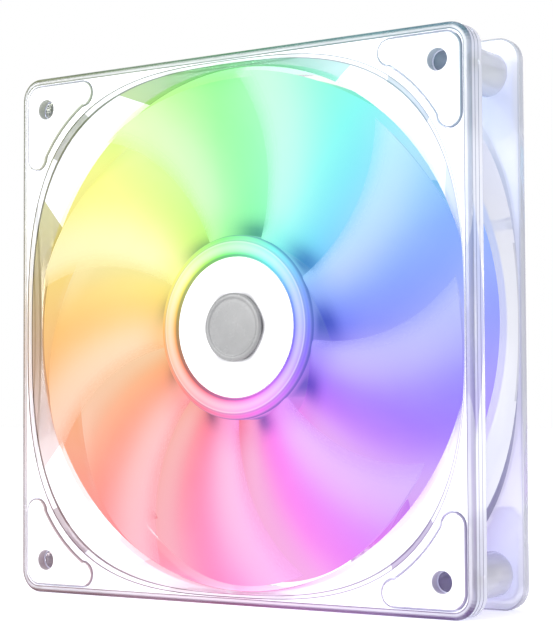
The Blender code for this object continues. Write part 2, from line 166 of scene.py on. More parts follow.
def add_skin(builder, rings, closed):
    """Join rings of equal length with quads, and either close the loop of rings or cap both ends."""
    count = len(rings[0])
    pairs = list(zip(rings, rings[1:]))
    if closed:
        pairs.append((rings[-1], rings[0]))
    for near, far in pairs:
        for i in range(count):
            j = (i + 1) % count
            builder.faces.new((near[i], near[j], far[j], far[i]))
    if not closed:
        builder.faces.new(rings[0][::-1])
        builder.faces.new(rings[-1])


def add_stack(builder, layers):
    rings = [[builder.verts.new(at(x, z, depth)) for x, z in outline] for outline, depth in layers]
    add_skin(builder, rings, closed=False)


def add_turned(builder, profile, sides, centre=(0, 0)):
    """Revolve a closed (radius, depth) outline. Two points at radius 0 put its ends on the axis."""
    rings = []
    for radius, depth in profile:
        spots = [polar(radius, tau * i / sides) for i in range(sides if radius > 1e-7 else 1)]
        rings.append([builder.verts.new(at(centre[0] + x, centre[1] + z, depth)) for x, z in spots])
    for near, far in zip(rings, rings[1:] + rings[:1]):
        if len(near) == len(far) == 1:
            continue
        for i in range(sides):
            j = (i + 1) % sides
            corners = [near[i % len(near)], near[j % len(near)], far[j % len(far)], far[i % len(far)]]
            builder.faces.new(list(dict.fromkeys(corners)))


def smoothed(mesh, sharp):
    """Smooth shading, except across edges sharper than an angle in degrees."""
    mesh.shade_smooth()
    mesh.set_sharp_from_angle(angle=radians(sharp))


def made(name, builder, sharp=32):
    bmesh.ops.recalc_face_normals(builder, faces=builder.faces)
    mesh = bpy.data.meshes.new(name)
    builder.to_mesh(mesh)
    builder.free()
    smoothed(mesh, sharp)
    thing = bpy.data.objects.new(name, mesh)
    bpy.context.scene.collection.objects.link(thing)
    return thing


def stacked(name, solids):
    builder = bmesh.new()
    for layers in solids:
        add_stack(builder, layers)
    return made(name, builder)


def turned(name, profile, sides=96):
    builder = bmesh.new()
    add_turned(builder, profile, sides)
    return made(name, builder)


def combine(target, tool, operation):
    modifier = target.modifiers.new(tool.name, "BOOLEAN")
    modifier.operation = operation
    modifier.solver = "EXACT"
    modifier.object = tool


def applied(thing, tools):
    """Bake a thing's modifiers into its mesh and delete the shapes that they used."""
    ready = thing.evaluated_get(bpy.context.evaluated_depsgraph_get())
    mesh = bpy.data.meshes.new_from_object(ready)
    thing.modifiers.clear()
    old = thing.data
    thing.data = mesh
    bpy.data.meshes.remove(old)
    for tool in tools:
        bpy.data.objects.remove(tool, do_unlink=True)


def weigh_normals(thing):
    modifier = thing.modifiers.new("normals", "WEIGHTED_NORMAL")
    modifier.weight = 60
    modifier.keep_sharp = True


def place(thing, body, slot, material, *nodes):
    thing.data.materials.clear()
    thing.data.materials.append(material)
    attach(thing, body)
    if nodes:
        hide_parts(*nodes)


# ---------------------------------------------------------------- materials


def linear(rgb):
    """An sRGB colour of 0 to 255, as Blender's linear values."""
    values = []
    for channel in rgb:
        c = channel / 255
        values.append(c / 12.92 if c <= 0.04045 else ((c + 0.055) / 1.055) ** 2.4)
    return (*values, 1)


class Nodes:
    """A short way to write a node tree."""

    def __init__(self, name):
        self.material = bpy.data.materials.new(name)
        self.material.use_nodes = True
        self.tree = self.material.node_tree
        self.shader = self.tree.nodes["Principled BSDF"]
        self.output = self.tree.nodes["Material Output"]

    def add(self, kind, **inputs):
        node = self.tree.nodes.new(kind)
        for key, value in inputs.items():
            if hasattr(node, key) and key not in node.inputs:
                setattr(node, key, value)
            else:
                self.feed(node, key, value)
        return node

    def feed(self, node, key, value):
        socket = node.inputs[int(key[1:])] if key[0] == "i" and key[1:].isdigit() else node.inputs[key]
        if isinstance(value, bpy.types.NodeSocket):
            self.tree.links.new(value, socket)
        else:
            socket.default_value = value

    def set(self, **inputs):
        for key, value in inputs.items():
            self.feed(self.shader, key.replace("_", " "), value)

    def math(self, operation, first, second=0.0, third=0.0, clamp=False):
        node = self.add("ShaderNodeMath", operation=operation, i0=first, i1=second, i2=third)
        node.use_clamp = clamp
        return node.outputs[0]

    def mix(self, amount, first, second, blend="MIX"):
        node = self.tree.nodes.new("ShaderNodeMix")
        node.data_type = "RGBA"
        node.blend_type = blend
        for index, value in ((0, amount), (6, first), (7, second)):
            if isinstance(value, bpy.types.NodeSocket):
                self.tree.links.new(value, node.inputs[index])
            else:
                node.inputs[index].default_value = value
        return node.outputs[2]

    def ramp(self, factor, stops, interpolation="LINEAR"):
        node = self.add("ShaderNodeValToRGB", Fac=factor)
        node.color_ramp.interpolation = interpolation
        elements = node.color_ramp.elements
        while len(elements) > 1:
            elements.remove(elements[-1])
        elements[0].position, elements[0].color = stops[0]
        for position, colour in stops[1:]:
            elements.new(position).color = colour
        return node.outputs[0]

    def noise(self, scale, detail=3.0):
        spot = self.add("ShaderNodeTexCoord").outputs["Object"]
        return self.add("ShaderNodeTexNoise", Vector=spot, Scale=scale, Detail=detail).outputs["Fac"]

    def split(self, vector):
        parts = self.add("ShaderNodeSeparateXYZ", Vector=vector)
        return [parts.outputs[axis] for axis in "XYZ"]

    def position(self):
        """The x, y and z of a place on the surface, which don't turn with the rotor."""
        return self.split(self.add("ShaderNodeNewGeometry").outputs["Position"])

    def radius(self, x, z):
        return self.math("SQRT", self.math("MULTIPLY_ADD", x, x, self.math("MULTIPLY", z, z)))

    def attribute(self, name):
        return self.add("ShaderNodeAttribute", attribute_name=name).outputs["Fac"]

    def bump(self, height, distance, strength):
        node = self.add("ShaderNodeBump", Height=height, Distance=distance, Strength=strength)
        self.set(Normal=node.outputs[0])

    def spread(self, factor, low, high):
        """A 0 to 1 value, mapped to low to high."""
        return self.math("MULTIPLY_ADD", factor, high - low, low)


# Degrees around the fan's axis, and the lamps' colour there.
GLOW = [
    (0, (150, 160, 253)),
    (22, (150, 190, 254)),
    (42, (147, 228, 255)),
    (58, (145, 252, 246)),
    (78, (165, 255, 210)),
    (98, (168, 255, 170)),
    (118, (208, 255, 150)),
    (138, (250, 254, 155)),
    (158, (253, 238, 145)),
    (178, (252, 210, 135)),
    (200, (253, 190, 145)),
    (222, (254, 168, 158)),
    (244, (254, 156, 182)),
    (266, (254, 160, 218)),
    (288, (252, 150, 245)),
    (310, (225, 150, 254)),
    (334, (178, 138, 254)),
    (360, (150, 160, 253)),
]


def rainbow(nodes):
    """The lamps' colour around the fan's axis, which stays where it is while the rotor turns."""
    x, _, z = nodes.position()
    turn = nodes.math("FRACT", nodes.math("MULTIPLY_ADD", nodes.math("ARCTAN2", z, x), 1 / tau, 1.0))
    return nodes.ramp(turn, [(heading / 360, linear(rgb)) for heading, rgb in GLOW])


def painted_mouth_light(nodes, tint, hue):
    """Add the painted light and shade on the frame's mouth.

    The mouth's slope has a painted refraction of the darker sides and the glow at the top, left, bottom and
    right, fainter towards the lower right. Its lip has a strip of painted shade beside each pad. The front of
    the rear flange is in painted shade, most of all low down.
    """
    x, y, z = nodes.position()
    across, high = (nodes.math("ABSOLUTE", value) for value in (x, z))
    depth = nodes.math("ADD", y, DEPTH / 2)
    off_axis = nodes.math("ARCTAN2", nodes.math("MINIMUM", across, high), nodes.math("MAXIMUM", across, high))
    patch_half, patch_taper, strip_start = radians(31.5), radians(5.5), radians(39)
    limit = nodes.math("MULTIPLY_ADD", depth, -patch_taper / MOUTH_END, patch_half)
    # Painted refraction: patches on the slope, fainter towards the lower right.
    refraction_patch = nodes.math("MULTIPLY", nodes.math("LESS_THAN", off_axis, limit), nodes.attribute("slope"))
    upper_left = nodes.math("MULTIPLY_ADD", z, 7.5, 0.55)
    upper_left = nodes.math("MULTIPLY_ADD", x, -5.0, upper_left, clamp=True)
    refraction_patch = nodes.math("MULTIPLY", refraction_patch, upper_left)
    tint = nodes.mix(refraction_patch, tint, nodes.mix(0.55, hue, linear((84, 90, 86))))
    # Painted shade: a strip on the lip beside each pad.
    in_strip = nodes.math("GREATER_THAN", off_axis, strip_start)
    lip_shade_strip = nodes.math("MULTIPLY", in_strip, nodes.attribute("lip"))
    tint = nodes.mix(nodes.math("MULTIPLY", lip_shade_strip, 0.7), tint, nodes.mix(0.2, linear((90, 90, 92)), hue))
    reach = 59.2 * MM
    powers = (nodes.math("POWER", value, float(SQUIRCLE)) for value in (across, high))
    inside = nodes.math("LESS_THAN", nodes.math("ADD", *powers), reach**SQUIRCLE)
    shadow = nodes.math("MULTIPLY", inside, nodes.math("COMPARE", depth, REAR_FLANGE, 0.05 * MM))
    low = nodes.math("MULTIPLY_ADD", z, -1 / SIZE, 0.45, clamp=True)
    return nodes.mix(nodes.math("MULTIPLY", shadow, low), tint, linear((120, 122, 150)))


def clear_plastic():
    """Half see-through and half milky, with painted shade lines along its rounded edges."""
    nodes = Nodes("clear_plastic")
    hue = rainbow(nodes)
    shade_line = nodes.attribute("shade_line")
    tint = nodes.mix(nodes.noise(90), linear((249, 250, 253)), linear((254, 254, 255)))
    tint = painted_mouth_light(nodes, tint, hue)
    # Painted shade along the rounded edges, faintly tinted by the glow.
    tint = nodes.mix(shade_line, tint, nodes.mix(0.12, linear((34, 38, 40)), hue))
    facing = nodes.add("ShaderNodeLayerWeight", Blend=0.5).outputs["Facing"]
    # Painted shade: the colour turns grey where the surface is seen edge-on.
    rim = nodes.math("POWER", facing, 5, clamp=True)
    tint = nodes.mix(nodes.math("MULTIPLY", rim, 0.6), tint, linear((120, 124, 134)))
    nodes.set(Base_Color=tint, IOR=1.47, Transmission_Weight=0.5)
    nodes.set(Specular_IOR_Level=nodes.math("MULTIPLY_ADD", shade_line, -0.5, 0.5))
    nodes.set(Roughness=nodes.spread(nodes.noise(260), 0.04, 0.08))
    nodes.bump(nodes.noise(55, detail=2), 0.02 * MM, 0.2)
    path = nodes.add("ShaderNodeLightPath")
    soft_rays = nodes.math("MAXIMUM", path.outputs["Is Shadow Ray"], path.outputs["Is Diffuse Ray"])
    veil = nodes.add("ShaderNodeBsdfTransparent", Color=linear((226, 228, 240))).outputs[0]
    choice = nodes.add("ShaderNodeMixShader", i0=soft_rays, i1=nodes.shader.outputs[0], i2=veil)
    nodes.tree.links.new(choice.outputs[0], nodes.output.inputs["Surface"])
    return nodes.material


def frosted_plastic():
    """Lit from inside: most of the colour is emission, and the rest answers to the studio light."""
    nodes = Nodes("frosted_plastic")
    hue = rainbow(nodes)
    # Painted light, painted shade and a painted shadow, from the rotor's attributes.
    painted_light = nodes.mix(nodes.attribute("painted_light"), hue, (1, 1, 1, 1))
    deep_shade = nodes.mix(nodes.attribute("deep_shade"), painted_light, hue, "MULTIPLY")
    shade = nodes.mix(nodes.attribute("shade"), deep_shade, (0.28, 0.4, 0.6, 1), "MULTIPLY")
    mist = nodes.mix(nodes.spread(nodes.noise(140), 0.0, 0.04), shade, (1, 1, 1, 1))
    dim = nodes.mix(1.0, mist, (0.1, 0.1, 0.1, 1), "MULTIPLY")
    nodes.set(Base_Color=dim, Emission_Color=mist, Emission_Strength=0.84, IOR=1.3)
    nodes.set(Alpha=nodes.math("SUBTRACT", 1.0, nodes.attribute("thin")))
    nodes.set(Roughness=nodes.spread(nodes.noise(400), 0.38, 0.5))
    nodes.bump(nodes.noise(900, detail=2), 0.01 * MM, 0.3)
    return nodes.material


def lit_plastic():
    """The barrel's wall, which glows with the lamps' light."""
    nodes = Nodes("lit_plastic")
    hue = rainbow(nodes)
    cast = nodes.mix(nodes.spread(nodes.noise(120), 0.0, 0.12), hue, (1, 1, 1, 1))
    cast = nodes.mix(0.25, cast, hue, "MULTIPLY")
    dim = nodes.mix(1.0, cast, (0.1, 0.1, 0.1, 1), "MULTIPLY")
    nodes.set(Base_Color=dim, Emission_Color=cast, Emission_Strength=0.85, IOR=1.35)
    nodes.set(Roughness=nodes.spread(nodes.noise(260), 0.12, 0.2))
    return nodes.material


def soft_pad():
    nodes = Nodes("pad_rubber")
    tint = nodes.mix(nodes.noise(220), linear((246, 246, 248)), linear((253, 253, 253)))
    # Painted shade on the pad's sides and the walls of its hole, faintly tinted by the glow.
    tint = nodes.mix(nodes.attribute("shade_line"), tint, nodes.mix(0.2, linear((84, 90, 98)), rainbow(nodes)))
    nodes.set(Base_Color=tint, Sheen_Weight=0.15, Sheen_Roughness=0.5)
    nodes.set(Roughness=nodes.spread(nodes.noise(600), 0.5, 0.62))
    nodes.bump(nodes.noise(2600, detail=2), 0.01 * MM, 0.35)
    return nodes.material


def moulded(name, low, high, roughness=(0.3, 0.42)):
    nodes = Nodes(name)
    nodes.set(Base_Color=nodes.mix(nodes.noise(180), linear(low), linear(high)))
    nodes.set(Roughness=nodes.spread(nodes.noise(420), *roughness))
    nodes.bump(nodes.noise(1500, detail=2), 0.01 * MM, 0.3)
    return nodes.material


def metal(name, low, high, roughness=(0.25, 0.4), rings=None):
    """Metal with turning marks: rings around the axis, or plain grain without them."""
    nodes = Nodes(name)
    marks = nodes.noise(500)
    if rings:
        x, _, z = nodes.position()
        wave = nodes.math("SINE", nodes.math("MULTIPLY", nodes.radius(x, z), tau / rings))
        marks = nodes.math("MULTIPLY_ADD", wave, 0.12, marks, clamp=True)
    nodes.set(Base_Color=nodes.mix(marks, linear(low), linear(high)), Metallic=1.0)
    nodes.set(Roughness=nodes.spread(marks, *roughness))
    nodes.bump(marks, 0.01 * MM, 0.3)
    return nodes.material


def label_film():
    """A plain paper-like label with a faint printed ring and no writing."""
    nodes = Nodes("label_film")
    x, _, z = nodes.position()
    outwards = nodes.math("MULTIPLY", nodes.radius(x, z), 1 / LABEL_RADIUS)
    stops = [(0, (1, 1, 1, 1)), (0.862, (0, 0, 0, 1)), (0.887, (1, 1, 1, 1))]
    blank = nodes.ramp(outwards, stops, "CONSTANT")
    paper = nodes.mix(nodes.noise(300), linear((226, 228, 232)), linear((238, 239, 242)))
    nodes.set(Base_Color=nodes.mix(blank, linear((176, 180, 190)), paper))
    nodes.set(Roughness=nodes.spread(nodes.noise(500), 0.35, 0.45))
    nodes.bump(nodes.noise(1800), 0.01 * MM, 0.25)
    return nodes.material


def lamp_face():
    nodes = Nodes("lamp")
    hue = rainbow(nodes)
    glow = nodes.mix(nodes.spread(nodes.noise(900), 0.2, 0.4), hue, (1, 1, 1, 1))
    nodes.set(Base_Color=glow, Emission_Color=glow, Emission_Strength=2.5)
    nodes.set(Roughness=nodes.spread(nodes.noise(700), 0.2, 0.35))
    return nodes.material


# ---------------------------------------------------------------- frame

THROAT = 57.3 * MM
BARREL = 59.1 * MM
MOUTH_HALF = 57.7 * MM  # from the axis to the middle of a side of the mouth
FLARE_HALF = 59.6 * MM  # the same for the barrel's outside, at its rear
MOUTH_END = 4.8 * MM
REAR_START = 15 * MM
BARREL_FLARE = 13.5 * MM  # depth where the barrel's outside starts to flare
GLOW_END = 18 * MM  # depth where the glow on the barrel's inside ends
LIP = 1.1 * MM  # radius of the mouth's rounded edge
EDGE = 0.9 * MM  # radius of the frame's outer edges
SMALL_EDGE = 0.4 * MM  # radius of the edges between the flanges
BEAD = 1.6 * MM  # width of the raised rim around the front face
BEAD_STEP = 0.12 * MM
FRONT_FLANGE = 5.5 * MM  # depth of its back
REAR_FLANGE = DEPTH - 3.5 * MM  # depth of its front
SIDE_LINES = (2 * MM, 3.5 * MM)  # depths of the thin painted shade lines around the front flange's sides
SIDE_LINE_WIDTH = 0.3 * MM
TUBE_RADIUS = 4.8 * MM
POCKET = 2.5 * MM  # depth of the pockets for the pads
DUCT_SIDES = 160


def duct_outline(radius, half, squareness):
    points = []
    for i in range(DUCT_SIDES):
        angle = tau * i / DUCT_SIDES
        points.append(polar(lerp(radius, squircle_radius(half, angle), squareness), angle))
    return points


def duct_layers():
    """The air's way through. The front mouth closes in evenly to a crease, and the rear one opens gently."""
    front, rear = PAD_PROUD, DEPTH - PAD_PROUD
    lip_steps, slope_steps, rear_steps = 7, 8, 12
    layers = [(duct_outline(THROAT, MOUTH_HALF + LIP, 1), -EPS)]
    for i in range(lip_steps + 1):
        turn = i / lip_steps * pi / 2
        depth = front + LIP * (1 - cos(turn))
        square = 1 - max(depth - front - LIP / 2, 0) / MOUTH_END
        layers.append((duct_outline(THROAT, MOUTH_HALF + LIP * (1 - sin(turn)), square), depth))
    first, start = depth, square
    for i in range(1, slope_steps + 1):
        t = i / slope_steps
        layers.append((duct_outline(THROAT, MOUTH_HALF, start * (1 - t)), lerp(first, MOUTH_END, t)))
    for i in range(rear_steps + 1):
        t = i / rear_steps
        square = t * t * (3 - 2 * t) * 0.35 + 0.65 * t * t
        layers.append((duct_outline(THROAT, MOUTH_HALF, square), lerp(REAR_START, rear - LIP, t)))
    for i in range(1, lip_steps + 1):
        turn = (1 - i / lip_steps) * pi / 2
        depth = rear - LIP * (1 - cos(turn))
        layers.append((duct_outline(THROAT, MOUTH_HALF + LIP * (1 - sin(turn)), 1), depth))
    layers.append((duct_outline(THROAT, MOUTH_HALF + LIP, 1), DEPTH + EPS))
    return layers


def barrel_layers():
    """Round at first, and then flared to a rounded square. Both ends are inside the flanges."""
    layers = [(duct_outline(BARREL, FLARE_HALF, 0), 3 * MM)]
    steps = 12
    for i in range(steps + 1):
        t = i / steps
        depth = lerp(BARREL_FLARE, 22.4 * MM, t)
        layers.append((duct_outline(BARREL, FLARE_HALF, 0.9 * t**1.7), depth))
    return layers


def flange_layers(front, rear, round_front, round_rear, bead=False):
    """A square plate with rounded edges, and perhaps a slightly raised rim around its front."""
    steps = 6
    layers = []
    if bead:
        layers.append((rounded_square(BEAD), front + BEAD_STEP))
        layers.append((rounded_square(BEAD - 0.25 * MM), front))
    for i in range(steps + 1):
        turn = (1 - i / steps) * pi / 2
        outline = rounded_square(round_front * (1 - cos(turn)))
        layers.append((outline, front + round_front * (1 - sin(turn))))
    for depth in SIDE_LINES if bead else ():
        layers += [(rounded_square(0), depth), (rounded_square(0), depth + SIDE_LINE_WIDTH)]
    for i in range(steps + 1):
        turn = i / steps * pi / 2
        outline = rounded_square(round_rear * (1 - cos(turn)))
        layers.append((outline, rear - round_rear * (1 - sin(turn))))
    return layers


def hole_centres():
    half = HOLE_PITCH / 2
    return [(half, half), (-half, half), (-half, -half), (half, -half)]


def pad_outline(grow):
    """The pad in the corner of +x and +z: two legs along the edges, and an inner side beside the mouth."""
    edge = 58 * MM + grow
    inner = 59.9 * MM - grow
    end = 38.5 * MM - grow
    corner_radius = 3.5 * MM + grow
    tip = 3 * MM
    # A leg's round end spans from the edge to the inner side, so its radius is found in rounds.
    for _ in range(12):
        tip = (edge - (inner**SQUIRCLE - (end + tip) ** SQUIRCLE) ** (1 / SQUIRCLE)) / 2
    corner = (edge - corner_radius, edge - corner_radius)
    points = arc((edge - tip, end + tip), tip, pi, tau, 10)
    points += arc(corner, corner_radius, 0, pi / 2, 10)
    points += arc((end + tip, edge - tip), tip, pi / 2, 3 * pi / 2, 10)
    first = atan2(edge - 2 * tip, end + tip)
    last = pi / 2 - first
    for i in range(1, 20):
        angle = lerp(first, last, i / 20)
        points.append(polar(squircle_radius(inner, angle), angle))
    return points


STRUT_START = 20  # degrees, where the first strut meets the rear flange
STRUT_SWEEP = radians(22)  # how much further round its inner end is
LEAD_STRUT = 3  # the wide one, which has the lead's channel


def strut_spine(index, start, end, steps):
    spots = []
    for i in range(steps + 1):
        t = i / steps
        angle = radians(STRUT_START + 90 * index) + STRUT_SWEEP * (1 - t) ** 1.5
        spots.append(Vector(polar(lerp(start, end, t), angle)))
    return spots


def add_strut(builder, index, width, reach, depths, soft):
    """A bar that sweeps clockwise on its way out, between two radii and two depths.

    Its long edges are rounded by the radius soft.
    """
    steps = 18
    front, rear = depths
    spots = strut_spine(index, *reach, steps)
    rings = []
    for i, spot in enumerate(spots):
        run = (spots[min(i + 1, steps)] - spots[max(i - 1, 0)]).normalized()
        side = Vector((-run.y, run.x))
        ring = []
        for across, high in ((1, 1), (-1, 1), (-1, -1), (1, -1)):
            centre = Vector((across * (width / 2 - soft), high * ((rear - front) / 2 - soft)))
            base = atan2(high, across)
            for turn in (-pi / 4, -pi / 12, pi / 12, pi / 4):
                corner = centre + Vector((cos(base + turn), sin(base + turn))) * soft
                x, z = spot + side * corner.x
                ring.append(builder.verts.new(at(x, z, (front + rear) / 2 + corner.y)))
        rings.append(ring)
    add_skin(builder, rings, closed=False)


def outline_inset(x, z):
    """How far a place is inside the fan's outline."""
    past_x, past_z = abs(x) - SIZE / 2 + CORNER, abs(z) - SIZE / 2 + CORNER
    if past_x > 0 and past_z > 0:
        return CORNER - hypot(past_x, past_z)
    return CORNER - max(past_x, past_z)


def painted_edge_shade(face, depth, inset):
    """How much painted shade a face of the outer edges gets: a line along each side of a rounded edge."""
    tilt = degrees(asin(min(abs(face.normal.y), 1)))
    flat = hypot(face.normal.x, face.normal.z) + 1e-9
    right = max(face.normal.x / flat, 0)
    corner = 4 * (face.normal.x * face.normal.z / flat**2) ** 2
    # The painted shade is lighter on faces that turn to the right, except at the corners.
    strength = 1.0 - 0.4 * right * (1 - corner)
    if depth < EDGE + PAD_PROUD and inset < EDGE:  # the rounded front edge
        return strength if tilt < 80 else 0.8 * strength
    if depth < EDGE + PAD_PROUD:  # the raised rim and the step inside it
        return 0.5 * strength if tilt > 80 else 0.9 * strength
    if FRONT_FLANGE - 0.5 * MM < depth < FRONT_FLANGE + 0.1 * MM:
        return 0.8 * strength
    if any(start < depth < start + SIDE_LINE_WIDTH for start in SIDE_LINES):
        return strength
    if abs(depth - REAR_FLANGE) < 0.5 * MM or depth > DEPTH - 3 * EDGE:
        return 0.5 * strength if tilt < 88 else 0
    return 0.0


def glows(face, radius, depth):
    """Whether a face is on the barrel's wall, inside or outside."""
    inward = -(face.normal.x * face.center.x + face.normal.z * face.center.z) / radius
    inside = inward > 0.4 and abs(radius - THROAT) < 4 * MM and MOUTH_END < depth < GLOW_END
    return inside or abs(radius - BARREL) < 0.1 * MM and FRONT_FLANGE < depth < BARREL_FLARE


def mark_frame(mesh):
    """Mark the frame's painted shade lines, the mouth's lip and slope, and the glowing wall of the barrel."""
    names = ("shade_line", "lip", "slope")
    for name in names:
        mesh.attributes.new(name, "FLOAT", "FACE")
    shade_line, lip, slope = (mesh.attributes[name].data for name in names)
    for face in mesh.polygons:
        x, z = face.center.x, face.center.z
        radius = hypot(x, z)
        depth = face.center.y + DEPTH / 2
        mouth_edge = (MOUTH_HALF + LIP) * squircle_radius(1, atan2(z, x)) + 0.05 * MM
        in_mouth = radius < mouth_edge and abs(face.normal.y) < 0.999
        hole = min(hypot(x - hole_x, z - hole_z) for hole_x, hole_z in hole_centres())
        inset = outline_inset(x, z)
        # Painted shade lines on the outer edges, in the screw holes, at both ends of the lip and around the
        # rear mouth.
        if inset < BEAD - 0.1 * MM:
            shade_line[face.index].value = painted_edge_shade(face, depth, inset)
        elif hole < HOLE_RADIUS + 0.1 * MM:
            shade_line[face.index].value = 0.85
        elif in_mouth and depth < PAD_PROUD + LIP:
            lip[face.index].value = 1
            at_rim = depth < PAD_PROUD + 0.25 * MM or depth > PAD_PROUD + 0.8 * LIP
            shade_line[face.index].value = 0.85 - 0.15 * x / radius if at_rim else 0
        elif in_mouth and depth < MOUTH_END:
            slope[face.index].value = 1
        elif in_mouth and depth > DEPTH - PAD_PROUD - LIP:
            shade_line[face.index].value = 0.5
        if glows(face, radius, depth):
            face.material_index = 1


def rod(centre, radius, sides, front, rear):
    outline = circle(centre, radius, sides)
    return [(outline, front), (outline, rear)]


def outer_shapes():
    """The rear flange, the barrel and the four screw tubes, which join the front flange."""
    rear = flange_layers(REAR_FLANGE, DEPTH - PAD_PROUD, SMALL_EDGE, 2 * EDGE)
    tubes = [rod(centre, TUBE_RADIUS, 48, 3 * MM, 23 * MM) for centre in hole_centres()]
    return [stacked("t_rear", [rear]), stacked("t_barrel", [barrel_layers()]), stacked("t_tubes", tubes)]


def motor_mount():
    """The motor's base, with a rim around the label, and the struts that hold it."""
    base = [
        (4.5 * MM, 21.5 * MM),
        (19.6 * MM, 21.5 * MM),
        (19.6 * MM, 19.6 * MM),
        (20.9 * MM, 19.6 * MM),
        (20.9 * MM, 24.7 * MM),
        (19.7 * MM, 24.7 * MM),
        (19.7 * MM, 24.1 * MM),
        (4.5 * MM, 24.1 * MM),
    ]
    builder = bmesh.new()
    for index in range(4):
        width = 5.4 * MM if index == LEAD_STRUT else 2.6 * MM
        add_strut(builder, index, width, (20.3 * MM, 61 * MM), (21.8 * MM, 24.5 * MM), 0.5 * MM)
    return [turned("t_base", softened(base, 0.35 * MM, 3)), made("t_struts", builder)]


def frame_cuts():
    """The screw holes, the pads' pockets and the lead's channel."""
    holes = [rod(centre, HOLE_RADIUS, 40, -EPS, DEPTH + EPS) for centre in hole_centres()]
    pockets = []
    for quarter in range(4):
        outline = [turned_point(p, quarter * pi / 2) for p in pad_outline(GAP)]
        pockets.append([(outline, -EPS), (outline, POCKET)])
        pockets.append([(outline, DEPTH - POCKET), (outline, DEPTH + EPS)])
    builder = bmesh.new()
    add_strut(builder, LEAD_STRUT, 3.4 * MM, (22 * MM, 66 * MM), (23 * MM, DEPTH + 2 * MM), 0.3 * MM)
    return [stacked("t_holes", holes), stacked("t_pockets", pockets), made("t_channel", builder)]


def make_frame(material, lit):
    shell = stacked("frame_shell", [flange_layers(PAD_PROUD, FRONT_FLANGE, EDGE, SMALL_EDGE, bead=True)])
    stages = [
        ("UNION", outer_shapes()),
        ("DIFFERENCE", [stacked("t_duct", [duct_layers()])]),
        ("UNION", motor_mount()),
        ("DIFFERENCE", frame_cuts()),
    ]
    for operation, tools in stages:
        for tool in tools:
            combine(shell, tool, operation)
    applied(shell, [tool for _, tools in stages for tool in tools])
    smoothed(shell.data, 28)
    weigh_normals(shell)
    place(shell, FIXED, "clear_plastic", material, "frame")
    shell.data.materials.append(lit)
    mark_frame(shell.data)


# ---------------------------------------------------------------- pads


def pad_shape():
    """One soft pad with rounded edges, whose screw hole has a rounded rim."""
    thick = 2.2 * MM
    soft = 0.45 * MM
    steps = 5
    layers = []
    for i in range(steps + 1):
        turn = (1 - i / steps) * pi / 2
        layers.append((pad_outline(-soft * (1 - cos(turn))), soft * (1 - sin(turn))))
    layers.append((pad_outline(0), thick - 0.2 * MM))
    layers.append((pad_outline(-0.2 * MM), thick))
    pad = stacked("pad_shape", [layers])
    lip = 0.35 * MM
    hole = 2.3 * MM
    bore = [(0, -EPS), (hole + lip, -EPS), (hole + lip, 0)]
    turns = (pi / 8, pi / 4, 3 * pi / 8, pi / 2)
    bore += [(hole + lip * (1 - sin(turn)), lip * (1 - cos(turn))) for turn in turns]
    bore += [(hole, thick + EPS), (0, thick + EPS)]
    half = HOLE_PITCH / 2
    builder = bmesh.new()
    add_turned(builder, bore, 48, (half, half))
    tool = made("t_bore", builder)
    combine(pad, tool, "DIFFERENCE")
    applied(pad, [tool])
    smoothed(pad.data, 32)
    return pad


def mark_pad(mesh):
    """Paint shade on the walls of the pad's hole and its sides, in a wider band where they face right."""
    shade_line = mesh.attributes.new("shade_line", "FLOAT", "FACE").data
    half = HOLE_PITCH / 2
    for face in mesh.polygons:
        out = hypot(abs(face.center.x) - half, abs(face.center.z) - half)
        tilt = abs(face.normal.y)
        if out < 3 * MM:
            shade_line[face.index].value = 0.6 if tilt < 0.5 or 0.85 < tilt < 0.999 else 0
        elif face.normal.x > 0.2:
            shade_line[face.index].value = 0.8 if tilt < 0.97 else 0
        else:
            shade_line[face.index].value = 0.8 if tilt < 0.8 else 0


def make_pads(material):
    pattern = pad_shape()
    for side, flip in (("front", 0), ("rear", pi)):
        for quarter in range(4):
            mesh = pattern.data.copy()
            mesh.transform(Matrix.Rotation(flip, 4, "X"))
            mesh.transform(Matrix.Rotation(-quarter * pi / 2, 4, "Y"))
            mark_pad(mesh)
            pad = bpy.data.objects.new(f"{side}_soft_pad_{quarter + 1}", mesh)
            bpy.context.scene.collection.objects.link(pad)
            weigh_normals(pad)
            place(pad, FIXED, "pad_rubber", material, nearest_pad(side, mesh))
    bpy.data.objects.remove(pattern, do_unlink=True)


def nearest_pad(side, mesh):
    """The name of the CAD pad that lies where this mesh does."""
    middle = sum((v.co for v in mesh.vertices), Vector()) / len(mesh.vertices)
    names = [f"{side}_pad_{i}" for i in range(1, 5)]
    return min(names, key=lambda n: (sum(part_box(n), Vector()) / 2 - middle).length)


# ---------------------------------------------------------------- rotor

HUB_RADIUS = 20.2 * MM
BLADE_TIP = 56 * MM
BLADE_ROOT = 19.5 * MM
BLADES = 9
LEAD = 31  # degrees, where the first blade's front edge leaves the hub
SWEEP = 18  # degrees, how much further on that edge is at the tip
WRAP = 70  # degrees, how far a blade reaches around the axis
EXTRA_WRAP = 3  # degrees, how much further it reaches halfway out
CLEAR_EDGE = 7  # degrees, how wide the see-through stretch behind a blade's front edge is
SPAN_STEPS = 30
CHORD_STEPS = 36


def blade_wrap(span):
    return radians(WRAP) + radians(EXTRA_WRAP) * 4 * span * (1 - span)


def blade_point(span, chord):
    """A place halfway through a blade. Span goes from hub to tip, and chord from front edge to rear edge."""
    radius = lerp(HUB_RADIUS, BLADE_TIP, span)
    lead = radians(LEAD) + radians(SWEEP) * max(span, 0) ** 1.6
    wrap = blade_wrap(span)
    front = lerp(3.6 * MM, 2 * MM, span)
    rear = lerp(17.4 * MM, 17.6 * MM, span)
    fall = lerp(chord, chord**2 * (3 - 2 * chord), 0.75)
    x, z = polar(radius, lead - wrap * chord)
    return at(x, z, lerp(front, rear, fall))


def bell(value, centre, width):
    return exp(-(((value - centre) / width) ** 2))


